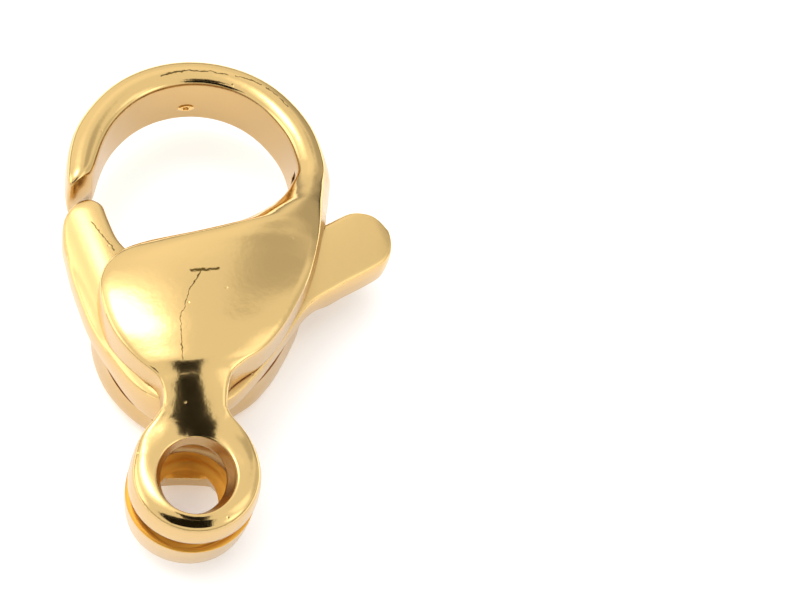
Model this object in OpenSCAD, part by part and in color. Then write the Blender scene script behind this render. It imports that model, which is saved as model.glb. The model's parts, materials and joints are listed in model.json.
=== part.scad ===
// Lobster clasp, cast and polished, lying on its back.
// The origin is in the middle of the clasp's length and width, on the surface it lies on.
// +Y runs from the end ring to the hook, +X to the thumb tab, +Z out of the front face.
// The modules draw about the end ring's centre, and place() moves each piece to the origin.

/* [Hook] */
// Radius of the round opening inside the hook
hook_in_r = 2.92; // [2.6:0.04:3.4]
// Width of the hook's band, seen from the front
hook_band = 0.78; // [0.7:0.02:0.96]
// How far the band's outer wall swells past its front edge
hook_swell = 0.14; // [0.04:0.01:0.15]
// How far the root's outer wall swells past the front edge
root_swell = 0.33; // [0.2:0.01:0.45]
// Height of the hook's side walls, from front edge to back edge
hook_wall = 1.9; // [1.7:0.05:2.2]
// Height by which the middle of the band stands over its edges
hook_crown = 0.15; // [0.05:0.01:0.2]
// Distance from the end ring's centre to the hook's centre
eye_to_hook = 9.45; // [8.75:0.1:10.65]
// How far the hook's centre lies to the right of the end ring's centre
hook_shift = 0.07; // [0:0.01:0.15]
// Angle of the hook's tip, counted from +X round the hook's centre
tip_angle = 188; // [184:1:190]
// Slope of the cut across the tip
tip_slope = 40; // [30:1:50]
// Diameter of the small dimple that the casting gate left inside the hook
gate_mark_d = 0.5; // [0.3:0.05:0.7]

/* [Plates] */
// Thickness over both crowned plates at their highest
body_thick = 4.5; // [4.2:0.1:5]
// Radius of the plates' crown from side to side
crown_r = 11; // [10:0.5:20]
// Reach of the plates to the left of the middle line
plate_left = 2.75; // [2.5:0.05:3]
// Reach of the plates to the right of the middle line
plate_right = 3.6; // [3.3:0.05:3.75]
// Width of the neck between the plates and the end ring
neck_w = 1.75; // [1.5:0.05:2]
// Width of the slot in which the lever moves
slot_w = 1.16; // [1.05:0.01:1.4]
// Width of the slot where the lever's thicker arm swings
relief_w = 2.2; // [2:0.05:2.4]

/* [End ring] */
// Radius of the hole in the end ring
eye_hole_r = 0.9; // [0.7:0.05:1.1]
// Width of the end ring's band, seen from the front
eye_band = 0.82; // [0.7:0.02:1]
// Thickness over both halves of the end ring at their crests
eye_thick = 3.1; // [2.7:0.05:3.4]
// Gap between the two halves of the end ring
eye_gap = 0.88; // [0.6:0.04:1]
// Drop from the ring's crest to its edges
eye_crown = 0.32; // [0.16:0.02:0.4]

/* [Lever] */
// Thickness of the lever's flat parts
lever_thick = 1.0; // [0.86:0.02:1.1]
// Thickness of the arm and beak at their ridge
arm_thick = 1.8; // [1.5:0.05:1.9]
// Radius of the arm's crown
arm_crown_r = 2.2; // [1.8:0.1:4]
// How far the arm stands out past the plates
lever_proud = 0.7; // [0.5:0.05:0.8]
// Distance from the middle line to the centre of the thumb tab's round end
tab_x = 4.88; // [4.68:0.05:5.58]
// Radius of the thumb tab's round end
tab_r = 0.93; // [0.8:0.02:1]
// Clearance between the tab's shoulder and the hook's root
stop_gap = 0.06; // [0.04:0.01:0.12]

/* [Pivot] */
// Radius of the pivot pin
pin_r = 0.5; // [0.4:0.05:0.6]
// Clearance of the lever on the pin, on the radius
pin_play = 0.03; // [0.02:0.01:0.06]
// Clearance of the pin in the plates' blind holes, on the radius
pin_seat = 0.015; // [0.01:0.005:0.03]
// Depth of the pin in each plate
pin_depth = 0.55; // [0.45:0.05:0.65]

/* [Hidden] */

hook_c = [hook_shift, eye_to_hook];
hook_out_r = hook_in_r + hook_band;
eye_r = eye_hole_r + eye_band;
slot_z = slot_w / 2;

// The pivot, as shares of the plates' reach and of the length
pivot = [-0.13 * plate_left, 0.465 * eye_to_hook];
// Radius of the lever's thin hub, and how far the thicker arm stays outside of it
hub_r = 1.85;
hub_clear = 0.1;

// Where the hook's root ends and the lever's shoulder stops against it
root_y = 0.862 * eye_to_hook;
root_wall_x = 0.92 * hook_out_r;
pocket_top = eye_to_hook + 0.15 * hook_in_r;
slot_start = 1.1 * eye_r;

// The root's outer wall is round about a centre of its own, off to the right
root_r = hook_out_r + (root_swell + hook_swell) / 2;
root_off = (root_swell - hook_swell) / 2;

// The middle of the whole clasp, seen from the front
middle = [(tab_x + tab_r + hook_shift - hook_out_r - hook_swell) / 2, (eye_to_hook + root_r - eye_r) / 2];

past = 1;
far = 3 * hook_out_r;

// A smooth closed curve through the points of a list
function curve_point(a, b, c, d, t) =
    0.5 * ((2 * b) + (c - a) * t + (2 * a - 5 * b + 4 * c - d) * t * t + (3 * b - a - 3 * c + d) * t * t * t);
function curve(p, steps) =
    let (n = len(p))
    [for (i = [0:n - 1], s = [0:steps - 1])
        curve_point(p[(i + n - 1) % n], p[i], p[(i + 1) % n], p[(i + 2) % n], s / steps)];

function at_angle(a) = [cos(a), sin(a)];
// A point round the hook's centre: angle, and share of the band's width from its inner edge
function on_hook(angle, share) = hook_c + (hook_in_r + share * hook_band) * at_angle(angle);
// A point of the plates: share of their reach to that side, share of the length
function reach(p) = [p[0] * (p[0] < 0 ? plate_left : plate_right), p[1] * eye_to_hook];
// A point of the arm's left edge, further out than the plates
function proud(p) = [p[0] * (plate_left + lever_proud), p[1] * eye_to_hook];

plate_upper = [[0.62, 0.877], [0.37, 0.8], [0.013, 0.746], [-0.49, 0.708], [-0.77, 0.677]];
plate_left_edge = [[-0.95, 0.607], [-0.99, 0.55], [-0.93, 0.463], [-0.82, 0.397], [-0.53, 0.299]];
plate_right_edge = [[0.3, 0.307], [0.51, 0.368], [0.7, 0.472], [0.85, 0.589], [0.95, 0.7], [0.99, 0.8]];

// The neck's sides lean a little to the left, as the plates do
neck_x = -0.05 * neck_w;
neck_left = [[neck_x - 0.5 * neck_w, 1.2 * eye_r], [neck_x - 0.54 * neck_w, 0.9 * eye_r]];
neck_right = [[neck_x + 0.54 * neck_w, 0.9 * eye_r], [neck_x + 0.5 * neck_w, 1.25 * eye_r]];
neck_foot = [[-0.4 * eye_r, 0.62 * eye_r], [0.4 * eye_r, 0.62 * eye_r]];

plate_points = concat(
    [on_hook(8, 0.5), on_hook(-2, 0.03), on_hook(-12, -0.26)],
    [for (p = plate_upper) reach(p)],
    [for (p = plate_left_edge) reach(p)],
    neck_left, neck_foot, neck_right,
    [for (p = plate_right_edge) reach(p)],
    [on_hook(-14, 1), on_hook(-3, 1)]
);

// Columns: share of the length, share of the half thickness
side_points = [
    [-0.02, 0.55], [0.1, 0.56], [0.19, 0.63], [0.28, 0.78], [0.38, 0.94], [0.49, 1.02], [0.585, 1.03],
    [0.68, 1], [0.77, 0.87], [0.86, 0.68], [0.94, 0.54], [1.03, 0.44]
];

// Beak: angle and share of the band; the other rows are shares as above
beak_rows = [
    [229.5, 0.47], [222, 0.3], [214, 0.17], [207, 0.1], [201.5, 0.2], [198, 0.5], [197.6, 0.9],
    [200.6, 1.25], [205.5, 1.67], [210.6, 1.9]
];
arm_edge = [[-1.05, 0.713], [-0.995, 0.63], [-0.925, 0.565], [-0.84, 0.485], [-0.6, 0.337], [-0.36, 0.242]];
tail_rows = [[-0.15, 0.22], [0.12, 0.234], [0.39, 0.31]];
heel_rows = [[0.61, 0.43], [0.82, 0.545], [0.99, 0.602]];
tab_c = [tab_x, 0.806 * eye_to_hook];
tab_points = [for (a = [-48, -10, 28, 66, 104]) tab_c + tab_r * at_angle(a)];
shoulder_y = root_y - stop_gap;
shoulder_points = [[hook_out_r, shoulder_y], on_hook(-24, 0.4)];
back_edge = [[0.5, 0.77], [0.1, 0.7], [-0.35, 0.675]];

lever_points = concat(
    [for (p = beak_rows) on_hook(p[0], p[1])],
    [for (p = arm_edge) proud(p)],
    [for (p = tail_rows) reach(p)],
    [for (p = heel_rows) reach(p)],
    tab_points, shoulder_points,
    [for (p = back_edge) reach(p)]
);

// Moves a piece drawn about the end ring's centre so that the clasp lies on the origin's plane
module place() translate([-middle[0], -middle[1], body_thick / 2]) children();

// A slab of an outline, centred in the thickness
module slab(h) linear_extrude(h, center = true) children();

// Two round bars laid one over the other leave a lens between them, thickest in the middle
module lens(thick, r, length) {
    centre_z = r - thick / 2;
    intersection() {
        translate([0, 0, centre_z]) rotate([90, 0, 0]) cylinder(h = length, r = r, center = true, $fn = 96);
        translate([0, 0, -centre_z]) rotate([90, 0, 0]) cylinder(h = length, r = r, center = true, $fn = 96);
    }
}

// The plates and necks: one outline from the front, one from the side, and a crown across
module plates() {
    side = curve([for (p = side_points) [p[0] * eye_to_hook, p[1] * body_thick / 2]], 4);
    upper = [for (i = [0:len(side) - 5]) side[i]];
    n = len(upper);
    lower = [for (i = [0:n - 1]) [upper[n - 1 - i][0], -upper[n - 1 - i][1]]];
    crown_over = 0.04;
    difference() {
        intersection() {
            slab(body_thick) polygon(curve(plate_points, 4));
            rotate([90, 0, 90]) linear_extrude(4 * hook_out_r, center = true) polygon(concat(upper, lower));
            translate([0.1 * plate_right, eye_to_hook / 2, 0])
                lens(body_thick + crown_over, crown_r, 3 * eye_to_hook);
        }
        arm_room();
    }
}

// The hook's band, with a crowned front and back and a swelling outer wall
module hook() {
    top = hook_wall / 2;
    flat = 0.3 * hook_band;
    swell_z = 0.35 * top;
    difference() {
        union() {
            translate([hook_c[0], hook_c[1], 0]) rotate_extrude($fn = 96) polygon([
                [hook_in_r, -top], [hook_in_r + flat, -top - hook_crown],
                [hook_out_r - flat, -top - hook_crown], [hook_out_r, -top],
                [hook_out_r + hook_swell, -swell_z], [hook_out_r + hook_swell, swell_z],
                [hook_out_r, top], [hook_out_r - flat, top + hook_crown],
                [hook_in_r + flat, top + hook_crown], [hook_in_r, top]
            ]);
            translate([hook_c[0] + root_off, hook_c[1], 0]) rotate_extrude($fn = 96) polygon([
                [hook_in_r + 0.6 * hook_band, -top], [root_r - root_swell, -top], [root_r, -swell_z],
                [root_r, swell_z], [root_r - root_swell, top], [hook_in_r + 0.6 * hook_band, top]
            ]);
        }
        slab(hook_wall + 4 * past) hook_mouth();
        gate_mark();
    }
}

// What is cut from the ring between its tip and its root
module hook_mouth() {
    tip = on_hook(tip_angle, 0.5);
    polygon([
        tip + 1.3 * hook_band * at_angle(tip_slope), tip - far * at_angle(tip_slope), [-far, -far],
        [far, -far], [far, root_y], [0.5 * hook_in_r, root_y], hook_c
    ]);
}

// A shallow round dimple in the inner wall
module gate_mark() {
    r = 0.7 * gate_mark_d;
    sink = 0.7 * r;
    translate([hook_c[0] - 0.06 * hook_in_r, hook_c[1] + hook_in_r - sink, 0]) sphere(r, $fn = 32);
}

// Both halves of the end ring in one, before the gap is cut
module end_ring() {
    top = eye_thick / 2;
    edge = top - eye_crown;
    crest_in = eye_hole_r + 0.42 * eye_band;
    crest_out = eye_hole_r + 0.68 * eye_band;
    lip = eye_hole_r + 0.24 * eye_band;
    rotate_extrude($fn = 96) polygon([
        [0, -edge + eye_crown], [eye_hole_r, -edge + eye_crown], [lip, -edge], [crest_in, -top],
        [crest_out, -top], [eye_r, -edge], [eye_r, edge], [crest_out, top], [crest_in, top], [lip, edge],
        [eye_hole_r, edge - eye_crown], [0, edge - eye_crown]
    ]);
}

// The slot for the lever, open on both sides under the hook's root
module lever_slot() {
    slab(slot_w) polygon([
        [-far, slot_start], [far, slot_start], [far, root_y], [root_wall_x, root_y],
        [root_wall_x - 0.15 * hook_band, pocket_top], [0, pocket_top], [-0.5 * hook_in_r, root_y], [-far, root_y]
    ]);
}

// More room where the arm swings
module arm_room() {
    slab(relief_w) difference() {
        polygon([for (a = [252, 210, 150, 92]) pivot + far * at_angle(a), pivot]);
        translate(pivot) circle(hub_r, $fn = 64);
    }
}

// Hook, plates, necks and end ring are one casting
module body() {
    color("gold") place() difference() {
        union() {
            plates();
            hook();
            end_ring();
        }
        lever_slot();
        slab(eye_gap) translate([-2 * eye_r, -2 * eye_r]) square([4 * eye_r, 3.4 * eye_r]);
        translate([0, 0, -body_thick]) cylinder(h = 2 * body_thick, r = eye_hole_r, $fn = 96);
        translate([pivot[0], pivot[1], -slot_z - pin_depth])
            cylinder(h = slot_w + 2 * pin_depth, r = pin_r + pin_seat, $fn = 64);
    }
}

// Arm and beak, thicker than the hub and the tab; their crown is a long round bar laid along them
module lever_arm() {
    arm_lean = 21.5;
    ridge = [-0.59 * (plate_left + lever_proud), 0.63 * eye_to_hook];
    intersection() {
        slab(arm_thick + past) difference() {
            intersection() {
                polygon(curve(lever_points, 4));
                polygon([for (a = [250, 210, 150, 118]) pivot + far * at_angle(a), pivot]);
            }
            translate(pivot) circle(hub_r + hub_clear, $fn = 64);
        }
        translate([ridge[0], ridge[1], 0]) rotate([0, 0, arm_lean]) lens(arm_thick, arm_crown_r, 2 * far);
    }
}

// The lever: beak, arm, hub and thumb tab in one
module lever() {
    color("goldenrod") place() difference() {
        union() {
            slab(lever_thick) polygon(curve(lever_points, 4));
            lever_arm();
        }
        translate([pivot[0], pivot[1], -body_thick])
            cylinder(h = 2 * body_thick, r = pin_r + pin_play, $fn = 64);
    }
}

// The hidden pin on which the lever turns
module pivot_pin() {
    end_play = 0.02;
    color("darkgoldenrod") place() translate([pivot[0], pivot[1], -slot_z - pin_depth + end_play])
        cylinder(h = slot_w + 2 * (pin_depth - end_play), r = pin_r, $fn = 64);
}

body();
lever();
pivot_pin();
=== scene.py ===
"""A lobster clasp of cast, gold-plated steel, lying on its back on a pale table."""

import json
import math
from collections import namedtuple

import bmesh
import bpy
import numpy as np
from mathutils import Matrix, Vector


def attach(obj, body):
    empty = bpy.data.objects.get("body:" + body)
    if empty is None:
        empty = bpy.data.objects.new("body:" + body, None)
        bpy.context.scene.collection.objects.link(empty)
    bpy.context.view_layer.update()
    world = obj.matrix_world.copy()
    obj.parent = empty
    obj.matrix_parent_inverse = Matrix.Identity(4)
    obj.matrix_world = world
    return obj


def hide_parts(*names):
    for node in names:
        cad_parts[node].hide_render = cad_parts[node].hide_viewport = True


bl_info = {
    "name": "Lobster Clasp",
    "version": (1, 0, 0),
    "blender": (4, 5, 0),
    "location": "View3D > Sidebar > Clasp",
    "description": "Builds a gold-plated lobster clasp, its lever and its stage",
    "category": "Object",
}

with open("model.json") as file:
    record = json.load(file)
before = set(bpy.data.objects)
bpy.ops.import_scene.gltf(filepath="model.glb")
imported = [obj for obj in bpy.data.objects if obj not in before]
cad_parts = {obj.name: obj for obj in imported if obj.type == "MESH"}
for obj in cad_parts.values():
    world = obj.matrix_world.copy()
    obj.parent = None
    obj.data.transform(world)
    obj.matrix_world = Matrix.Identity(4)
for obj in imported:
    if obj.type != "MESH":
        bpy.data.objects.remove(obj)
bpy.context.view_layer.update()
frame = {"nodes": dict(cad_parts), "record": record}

MM = 0.001
# The end ring's centre, in the middle of the thickness: all shapes below are drawn about it, in mm
RING = Vector(frame["record"]["mounts"][0]["pos_m"])
HINGE = (Vector(frame["record"]["behaviour"]["joints"][0]["pos_m"]) - RING) / MM
PIVOT = np.array([HINGE.x, HINGE.y])

# The hook is drawn round this centre
HOOK = np.array([0.07, 9.47])

# Left and right edge of the front face at stations from the neck up over the plate, with the height of
# both edges, the height of the crown between them, and the swell of the wall under each edge
PLATE = [
    ((-0.95, 1.80), (0.80, 1.80), 1.58, 1.58, 0.08, 0.05, 0.05),
    ((-0.93, 2.06), (0.79, 2.10), 1.67, 1.67, 0.09, 0.04, 0.04),
    ((-1.00, 2.35), (0.87, 2.61), 1.77, 1.78, 0.13, 0.03, 0.03),
    ((-1.16, 2.59), (1.07, 2.88), 1.81, 1.82, 0.17, 0.03, 0.02),
    ((-1.45, 2.82), (1.39, 3.14), 1.855, 1.865, 0.21, 0.03, 0.02),
    ((-1.84, 3.19), (1.80, 3.45), 1.86, 1.86, 0.27, 0.03, 0.02),
    ((-2.25, 3.73), (2.22, 3.96), 1.88, 1.88, 0.33, 0.03, 0.03),
    ((-2.53, 4.34), (2.51, 4.43), 1.895, 1.895, 0.345, 0.03, 0.03),
    ((-2.67, 4.92), (2.80, 4.99), 1.91, 1.91, 0.34, 0.03, 0.04),
    ((-2.68, 5.37), (3.04, 5.53), 1.91, 1.90, 0.34, 0.03, 0.06),
    ((-2.56, 5.77), (3.20, 6.02), 1.90, 1.88, 0.34, 0.03, 0.08),
    ((-2.36, 6.07), (3.30, 6.39), 1.88, 1.84, 0.35, 0.03, 0.10),
    ((-2.10, 6.31), (3.37, 6.70), 1.86, 1.80, 0.36, 0.06, 0.12),
    ((-1.77, 6.49), (3.43, 6.97), 1.84, 1.76, 0.37, 0.05, 0.12),
    ((-1.30, 6.66), (3.48, 7.24), 1.83, 1.70, 0.37, 0.05, 0.13),
    ((-0.65, 6.83), (3.52, 7.50), 1.82, 1.64, 0.36, 0.05, 0.14),
    ((0.05, 7.02), (3.56, 7.76), 1.80, 1.57, 0.34, 0.05, 0.16),
    ((0.75, 7.25), (3.59, 8.01), 1.74, 1.50, 0.30, 0.05, 0.19),
    ((1.33, 7.54), (3.62, 8.25), 1.65, 1.42, 0.27, 0.05, 0.22),
    ((1.82, 7.89), (3.65, 8.50), 1.53, 1.33, 0.24, 0.04, 0.24),
    ((2.23, 8.27), (3.69, 8.75), 1.38, 1.24, 0.20, 0.04, 0.25),
    ((2.55, 8.68), (3.73, 9.04), 1.23, 1.14, 0.18, 0.03, 0.26),
    ((2.77, 9.11), (3.77, 9.36), 1.10, 1.05, 0.16, 0.03, 0.26),
]

# The hook's band: angle round its centre at the inner and the outer edge, both radii, height of the
# edges, crown, and both swells
BAND = [
    (2, 4, 2.89, 3.75, 1.02, 0.15, 0.02, 0.25),
    (12, 12, 2.91, 3.76, 0.98, 0.15, 0.02, 0.22),
    (24, 24, 2.92, 3.78, 0.96, 0.15, 0.02, 0.18),
    (38, 38, 2.92, 3.79, 0.94, 0.15, 0.02, 0.15),
    (54, 54, 2.95, 3.81, 0.94, 0.15, 0.02, 0.13),
    (70, 70, 2.97, 3.80, 0.94, 0.15, 0.02, 0.12),
    (86, 86, 2.96, 3.79, 0.94, 0.15, 0.02, 0.12),
    (102, 102, 2.93, 3.78, 0.94, 0.15, 0.02, 0.12),
    (118, 118, 2.9, 3.77, 0.94, 0.15, 0.02, 0.12),
    (134, 134, 2.87, 3.75, 0.94, 0.15, 0.02, 0.12),
    (150, 150, 2.85, 3.73, 0.94, 0.15, 0.02, 0.12),
    (163, 164, 2.85, 3.74, 0.94, 0.15, 0.02, 0.10),
    (173, 178, 2.88, 3.73, 0.94, 0.15, 0.02, 0.07),
    (180, 187, 2.94, 3.745, 0.94, 0.15, 0.02, 0.06),
    (184, 191.5, 2.98, 3.75, 0.94, 0.14, 0.02, 0.05),
]

# The end ring's outer edge, clockwise from the neck's right side: direction in degrees, radius and height
RING_EDGE = [
    (59, 1.835, 1.49), (48, 1.775, 1.41), (33, 1.735, 1.32), (15, 1.715, 1.25), (-5, 1.70, 1.21),
    (-28, 1.68, 1.18), (-52, 1.655, 1.15), (-75, 1.63, 1.13), (-98, 1.62, 1.12), (-122, 1.635, 1.13),
    (-145, 1.67, 1.15), (-165, 1.70, 1.17), (-183, 1.72, 1.21), (-199, 1.75, 1.26), (-213, 1.81, 1.34),
    (-224, 1.85, 1.41), (-233, 1.89, 1.48),
]

# The ring's face falls from the round edge of its hole to the rim; the hole narrows to an ellipse
FACE_EDGE = np.array([-0.01, -0.10])
FACE_EDGE_R = 1.095
FACE_EDGE_Z = 1.36
THROAT = np.array([-0.065, -0.007])
THROAT_R = np.array([0.885, 0.983])
THROAT_Z = 0.845

# Outer and inner edge of the lever at stations from the beak down the arm, round the hub and to the tab
LEVER = [
    ((-3.44, 8.30), (-2.93, 8.48)),
    ((-3.60, 8.06), (-2.66, 8.27)),
    ((-3.71, 7.79), (-2.54, 7.99)),
    ((-3.72, 7.49), (-2.42, 7.67)),
    ((-3.70, 7.16), (-2.28, 7.33)),
    ((-3.61, 6.78), (-2.08, 7.02)),
    ((-3.50, 6.33), (-1.75, 6.74)),
    ((-3.35, 5.83), (-1.32, 6.54)),
    ((-3.17, 5.32), (-0.92, 6.44)),
    ((-2.90, 4.63), (-0.55, 6.40)),
    ((-2.50, 3.91), (-0.28, 6.42)),
    ((-2.05, 3.23), (-0.06, 6.46)),
    ((-1.50, 2.60), (0.12, 6.54)),
    ((-0.75, 2.20), (0.30, 6.63)),
    ((0.05, 2.18), (0.50, 6.75)),
    ((0.79, 2.40), (0.80, 6.92)),
    ((1.44, 2.93), (1.18, 7.11)),
    ((2.28, 4.02), (1.80, 7.38)),
    ((3.03, 5.16), (2.55, 7.69)),
    ((3.56, 5.71), (3.15, 7.90)),
    ((4.00, 6.00), (3.58, 8.02)),
    ((4.45, 6.29), (3.95, 8.19)),
    ((4.90, 6.55), (4.27, 8.39)),
    ((5.33, 6.82), (4.58, 8.54)),
    ((5.60, 7.04), (4.88, 8.57)),
    ((5.75, 7.36), (5.18, 8.51)),
    ((5.785, 7.66), (5.42, 8.36)),
    ((5.765, 7.88), (5.61, 8.14)),
    ((5.73, 7.98), (5.68, 8.06)),
]

# Dark reflection lines painted on the front faces: start, end and half width; first the plate's, then
# the hook's
PAINTED_REFLECTION_LINES = [
    ((-0.45, 2.95), (-0.52, 4.10), 0.009),
    ((-0.52, 4.10), (-0.27, 4.95), 0.009),
    ((-0.27, 4.95), (0.05, 5.55), 0.015),
    ((-0.23, 5.53), (0.51, 5.62), 0.036),
    ((-1.04, 12.54), (-0.79, 12.66), 0.018),
    ((-0.79, 12.66), (-0.41, 12.77), 0.026),
    ((-0.41, 12.77), (0.03, 12.81), 0.018),
    ((0.03, 12.81), (0.48, 12.80), 0.014),
    ((0.48, 12.80), (0.96, 12.71), 0.014),
    ((1.19, 12.69), (1.58, 12.61), 0.012),
    ((1.58, 12.61), (1.94, 12.45), 0.016),
    ((2.10, 12.35), (2.42, 12.07), 0.010),
    ((2.50, 12.00), (2.74, 11.71), 0.012),
]
# The same painted dark reflection lines on the lever's arm
LEVER_PAINTED_REFLECTION_LINES = [
    ((-2.96, 7.67), (-2.76, 7.45), 0.010),
    ((-2.76, 7.45), (-2.56, 7.17), 0.010),
    ((-2.56, 7.17), (-2.27, 6.77), 0.010),
]

# Radius of a rounded rim and the distances from its edge at which points stand on it
RIM = 0.10
RIM_STEPS = [0.0, 0.012, 0.04, 0.10]
# Shares of the way down a wall, and how far the wall turns in at its foot over a gap
WALL_STEPS = [0.12, 0.3, 0.5, 0.7, 0.86, 0.95, 1.0]
FOOT = 0.04
# Columns between the rims, and how far apart rows are laid
BODY_COLUMNS = 26
LEVER_COLUMNS = 20
BODY_STEP = 0.075
RING_STEP = 0.09
LEVER_STEP = 0.07
# The last rows of a free end draw in by up to this much, so that the end has a rounded edge
END_ROWS = 5
TIP_ROUND = 0.09
LEVER_ROUND = 0.10
# How far the walls of ring and lever swell
RING_SWELL = 0.07
LEVER_SWELL = 0.03

# The lever's arm is crowned along a ridge: a point on it, its lean in degrees, its height, and how wide
# its two flanks are
RIDGE = np.array([-2.035, 5.95])
RIDGE_LEAN = 21.5
RIDGE_Z = 0.87
FLANKS = (3.4, 4.4)
# The crown keeps outside the hub and between two directions from the pivot, in degrees
HUB_R = 1.5
ARM_SECTOR = (104, 266)
# Crown of the hub and the thumb tab, and the share by which the tab's back is deeper than its front
TAB_CROWN = 0.03
TAB_BACK = 0.45
BORE_R = 0.53

# Where the casting is open inside: the ring's gap lies under the first level, the hook is solid over the
# second, and its root is solid over the third, but for the room between the two sides
GAP_END = 1.9
HOOK_START = 9.85
ROOT_START = 8.12
ROOT_SIDES = (-2.7, 3.38)
# Turns of the lever, in degrees, for which the slot leaves room, and the room over the arm
LEVER_TURNS = (0, 12.5, 25)
ARM_ROOM = 0.06
# The slot's end wall keeps to this many columns
SOLID_COLUMNS = 6

# The back half's flare about the plate's middle; over the ring, how far it shifts for each mm of depth,
# how much lower its rim is, and how much nearer its face over the gap
FLARE = 0.046
FLARE_MIDDLE = (0.2, 5.8)
RING_SHIFT = (0.035, 0.011)
RING_DEEPER = 0.34
RING_NEARER = 0.25
# The hole through the back half ends in a flat at this y
FLAT_Y = 0.72

# The lip of the ring's hole: share of the way to the throat, and drop; then the shares further down
LIP = [(0.10, -0.012), (0.17, -0.04), (0.22, -0.08)]
THROAT_SHARES = (0.45, 0.7, 0.9, 1.0)
# Behind the throat the hole widens towards the gap: distance out and level, then the last distance
WIDENING = [(0.03, 0.80), (0.30, 0.80), (0.48, 0.76)]
GAP_EDGE = 0.58

# The pip that the casting gate left on the hook's inner wall: its place, and its two radii
PIP = np.array([-0.20, 12.40, -0.30])
PIP_R = 0.25
PIP_HIGH = 0.14

Section = namedtuple("Section", "top base drop wall_right inner wall_left")


def smooth(values, at):
    """Rows of numbers read along a natural cubic spline that passes through each of them."""
    y = np.asarray(values, float)
    n = len(y)
    system = np.eye(n)
    right = np.zeros_like(y)
    for i in range(1, n - 1):
        system[i, i - 1 : i + 2] = 1, 4, 1
        right[i] = 6 * (y[i + 1] - 2 * y[i] + y[i - 1])
    bend = np.linalg.solve(system, right)
    i = np.clip(np.floor(at).astype(int), 0, n - 2)
    t = (np.asarray(at) - i)[:, None]
    return (
        (1 - t) * y[i] + t * y[i + 1]
        + ((1 - t) ** 3 - (1 - t)) * bend[i] / 6 + (t**3 - t) * bend[i + 1] / 6
    )


def evenly(values, step, centre):
    """The same rows read a fixed step apart; centre gives the points of rows to measure between."""
    fine = np.linspace(0, len(values) - 1, 40 * len(values))
    rows = smooth(values, fine)
    mid = centre(rows)
    run = np.concatenate([[0], np.cumsum(np.linalg.norm(np.diff(mid, axis=0), axis=1))])
    count = int(run[-1] / step) + 1
    return smooth(values, np.interp(np.linspace(0, run[-1], count), run, fine))


def outward(points, inside):
    """Unit normals of a line of points, turned away from the points inside."""
    tangent = np.gradient(points, axis=0)
    normal = np.stack([tangent[:, 1], -tangent[:, 0]], axis=1)
    normal /= np.linalg.norm(normal, axis=1)[:, None]
    turned = ((points - inside) * normal).sum(1) < 0
    normal[turned] *= -1
    return normal


def clamp(t):
    """The number, kept between 0 and 1."""
    return min(max(t, 0), 1)


def soft_step(t):
    """Zero below 0, one above 1 and a smooth rise in between."""
    t = clamp(t)
    return t * t * (3 - 2 * t)


def rounding(d):
    """How far a rounded rim lies under its sharp corner, at a distance d from the edge."""
    return RIM - np.sqrt(np.maximum(RIM**2 - np.clip(RIM - d, 0, RIM) ** 2, 0))


def across(width, columns):
    """Distances over a face of that width: close together at both rims, even in between."""
    rim = np.array(RIM_STEPS)
    middle = np.linspace(RIM, width - RIM, columns + 2)[1:-1]
    return np.concatenate([rim, middle, width - rim[::-1]])


def draw_in(p, q, share, depth):
    """A row's two ends, drawn in by its share of the way to a free end, and by how much."""
    inset = depth * (1 - math.sqrt(1 - share**2 * 0.98))
    length = np.linalg.norm(q - p)
    if length <= 3 * inset:
        return p, q, inset
    along = (q - p) / length
    return p + along * inset, q - along * inset, inset


def grid(bm, points, close=False):
    """Adds a grid with its vertices at points[row][column]; close joins the last column to the first."""
    points = np.asarray(points, float)
    if close:
        points = np.concatenate([points, points[:, :1]], axis=1)
    rows, columns = points.shape[:2]
    made = bmesh.ops.create_grid(bm, x_segments=rows - 1, y_segments=columns - 1, size=1)["verts"]
    for v in made:
        r = round((v.co.x + 1) / 2 * (rows - 1))
        c = round((v.co.y + 1) / 2 * (columns - 1))
        v.co = points[r, c]


def wall(top, normal, swell, bottom):
    """Points down a swelling wall, from a rim point to the level bottom or to the middle plane."""
    points = []
    for w in WALL_STEPS:
        out = swell * (1 - (1 - w) ** 2)
        if bottom > 0 and w == 1.0:
            out -= FOOT
        xy = top[:2] + normal * out
        points.append([xy[0], xy[1], top[2] + (bottom - top[2]) * w])
    return points


def arm_crown(x, y):
    """Height of the lever's arm and beak, crowned along a ridge; none over the hub and the tab."""
    lean = math.radians(RIDGE_LEAN)
    d = (x - RIDGE[0]) * math.cos(lean) + (y - RIDGE[1]) * math.sin(lean)
    dx, dy = x - PIVOT[0], y - PIVOT[1]
    angle = math.degrees(math.atan2(dy, dx)) % 360
    clear = clamp((math.hypot(dx, dy) - HUB_R) / 0.12)
    sector = clamp((angle - ARM_SECTOR[0]) / 10) * clamp((ARM_SECTOR[1] - angle) / 8)
    return (RIDGE_Z - d * d / (FLANKS[0] if d < 0 else FLANKS[1])) * clear * sector


def inner_level(x, y, gap, slot):
    """Level of the casting's inner faces: ring's gap, slot and the arm's room, or none where solid."""
    if y < GAP_END:
        return gap
    if y > HOOK_START or (y > ROOT_START and (x > ROOT_SIDES[1] or x < ROOT_SIDES[0])):
        return 0.0
    level = slot
    for turn in LEVER_TURNS:
        c, k = math.cos(math.radians(turn)), math.sin(math.radians(turn))
        dx, dy = x - PIVOT[0], y - PIVOT[1]
        arm = arm_crown(PIVOT[0] + c * dx - k * dy, PIVOT[1] + k * dx + c * dy)
        level = max(level, arm + ARM_ROOM)
    return level


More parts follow.
